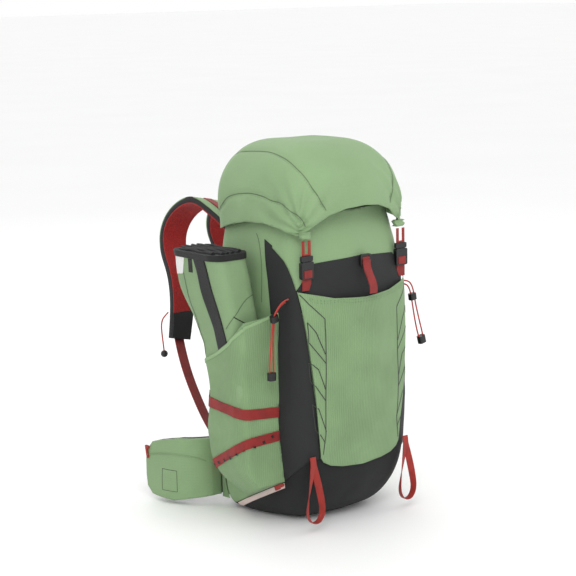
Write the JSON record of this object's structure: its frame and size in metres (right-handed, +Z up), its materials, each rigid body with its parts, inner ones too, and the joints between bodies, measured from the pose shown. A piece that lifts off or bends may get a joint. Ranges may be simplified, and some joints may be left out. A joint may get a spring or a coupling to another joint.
{
  "type": "hiking backpack",
  "caption": "Thirty-litre class hiking backpack with hinged lid, stretch pockets, padded harness, hip belt wings, axe loops and a folded camp seat in the side pocket.",
  "frame": {"origin": "centre of the flat patch the base stands on", "axes": "+Z up; -Y is the pack's front with the stretch pocket; +Y is the wearer's side; +X to the right seen from the front"},
  "size_m": [0.4252, 0.4849, 0.6411],
  "materials": {
    "green_fabric": "woven ripstop nylon, soft sheen",
    "stretch_mesh": "ribbed stretch mesh",
    "dark_fabric": "fine woven nylon, matt",
    "lining": "thin coated nylon",
    "webbing": "flat woven webbing",
    "black_webbing": "flat woven webbing, black",
    "buckle": "moulded acetal",
    "zip": "coil zip, pale",
    "zip_metal": "coated zip slider with cord pull",
    "cord": "braided elastic cord",
    "foam": "spacer mesh over foam",
    "strap_liner": "perforated mesh",
    "strap_cover": "woven nylon with black binding",
    "frame_sheet": "thin HDPE sheet",
    "stay": "bent flat aluminium bar",
    "seat": "coated nylon over closed-cell foam"
  },
  "bodies": {
    "pack": {"back_panel": "foam", "base_boot": "dark_fabric", "base_zip": "zip", "centre_strap": "webbing", "collar": "lining", "collar_drawcord": "cord", "compression_straps_left": "webbing", "compression_straps_right": "webbing", "frame_sheet": "frame_sheet", "frame_stay": "stay", "front_buckles": "buckle", "front_pocket": "stretch_mesh", "front_webbing": "webbing", "front_yoke": "dark_fabric", "lumbar_pad": "foam", "main_bag": "green_fabric", "side_panel_left": "dark_fabric", "side_panel_right": "dark_fabric", "side_pocket_left": "stretch_mesh", "side_pocket_right": "stretch_mesh", "tool_cord_left": "cord", "tool_cord_right": "cord", "tool_toggle_left": "buckle", "tool_toggle_right": "buckle", "yoke_panel": "dark_fabric"},
    "lid": {"lid_shell": "green_fabric", "lid_underside": "dark_fabric"},
    "lid_buckle_left": {"lid_strap_left": "webbing", "buckle_plug_left": "buckle"},
    "shoulder_left": {"shoulder_pad_left": "foam", "shoulder_liner_left": "strap_liner", "shoulder_cover_left": "strap_cover", "shoulder_webbing_left": "webbing", "sternum_strap_left": "black_webbing", "stow_cord": "cord", "stow_ball": "buckle"},
    "hip_wing_left": {"hip_pad_left": "foam", "hip_pocket_left": "green_fabric", "hip_webbing_left": "black_webbing", "hip_buckle_left": "buckle"},
    "hip_slider_left": {"hip_zip_slider_left": "zip_metal"},
    "axe_loop_left": {"ice_axe_loop_left": "webbing"},
    "lid_buckle_right": {"lid_strap_right": "webbing", "buckle_plug_right": "buckle"},
    "shoulder_right": {"shoulder_pad_right": "foam", "shoulder_liner_right": "strap_liner", "shoulder_cover_right": "strap_cover", "shoulder_webbing_right": "webbing", "sternum_strap_right": "black_webbing"},
    "hip_wing_right": {"hip_pad_right": "foam", "hip_pocket_right": "green_fabric", "hip_webbing_right": "black_webbing", "hip_buckle_right": "buckle"},
    "hip_slider_right": {"hip_zip_slider_right": "zip_metal"},
    "axe_loop_right": {"ice_axe_loop_right": "webbing"},
    "lid_slider": {"lid_zip_slider": "zip_metal"},
    "base_slider": {"base_zip_slider": "zip_metal"},
    "handle": {"grab_handle": "black_webbing"},
    "camp_seat": {"seat_roll": "seat", "seat_trim": "black_webbing"}
  },
  "joints": [
    {"name": "lid_hinge", "type": "hinge", "parent": "pack", "child": "lid", "pos_m": [0, 0.104, 0.486], "axis": [-1, 0, 0], "range_deg": [0, 60]},
    {"name": "lid_buckle_hinge_left", "type": "hinge", "parent": "lid", "child": "lid_buckle_left", "pos_m": [-0.104, -0.126, 0.489], "axis": [1, 0, 0], "range_deg": [0, 60]},
    {"name": "shoulder_swing_left", "type": "hinge", "parent": "pack", "child": "shoulder_left", "pos_m": [-0.048, 0.109, 0.47], "axis": [0.1972, -0.0169, 0.9802], "range_deg": [0, 20]},
    {"name": "hip_wing_hinge_left", "type": "hinge", "parent": "pack", "child": "hip_wing_left", "pos_m": [-0.112, 0.106, 0.064], "axis": [0, 0, 1], "range_deg": [-30, 15]},
    {"name": "hip_zip_slide_left", "type": "slide", "parent": "hip_wing_left", "child": "hip_slider_left", "axis": [0, -1, 0], "range_m": [0, 0.02]},
    {"name": "axe_loop_hinge_left", "type": "hinge", "parent": "pack", "child": "axe_loop_left", "pos_m": [-0.104, -0.1352, 0.119], "axis": [-1, 0, 0], "range_deg": [0, 60]},
    {"name": "lid_buckle_hinge_right", "type": "hinge", "parent": "lid", "child": "lid_buckle_right", "pos_m": [0.104, -0.126, 0.489], "axis": [1, 0, 0], "range_deg": [0, 60]},
    {"name": "shoulder_swing_right", "type": "hinge", "parent": "pack", "child": "shoulder_right", "pos_m": [0.048, 0.109, 0.47], "axis": [0.1972, 0.0169, -0.9802], "range_deg": [0, 20]},
    {"name": "hip_wing_hinge_right", "type": "hinge", "parent": "pack", "child": "hip_wing_right", "pos_m": [0.112, 0.106, 0.064], "axis": [0, 0, -1], "range_deg": [-30, 15]},
    {"name": "hip_zip_slide_right", "type": "slide", "parent": "hip_wing_right", "child": "hip_slider_right", "axis": [0, -1, 0], "range_m": [0, 0.02]},
    {"name": "axe_loop_hinge_right", "type": "hinge", "parent": "pack", "child": "axe_loop_right", "pos_m": [0.104, -0.1352, 0.119], "axis": [-1, 0, 0], "range_deg": [0, 60]},
    {"name": "lid_zip_slide", "type": "slide", "parent": "lid", "child": "lid_slider", "axis": [1, 0, 0], "range_m": [0, 0.12]},
    {"name": "base_zip_slide", "type": "slide", "parent": "pack", "child": "base_slider", "axis": [-0.018, 0.9007, -0.434], "range_m": [0, 0.05]},
    {"name": "handle_hinge", "type": "hinge", "parent": "pack", "child": "handle", "pos_m": [0, 0.1092, 0.484], "axis": [1, 0, 0], "range_deg": [0, 25]},
    {"name": "seat_slide", "type": "slide", "parent": "pack", "child": "camp_seat", "axis": [-0.0279, 0.0559, 0.998], "range_m": [0, 0.28]}
  ],
  "couplings": [
    {"joint": "lid_buckle_hinge_left", "follows": "lid_hinge", "ratio": 1},
    {"joint": "lid_buckle_hinge_right", "follows": "lid_hinge", "ratio": 1}
  ]
}
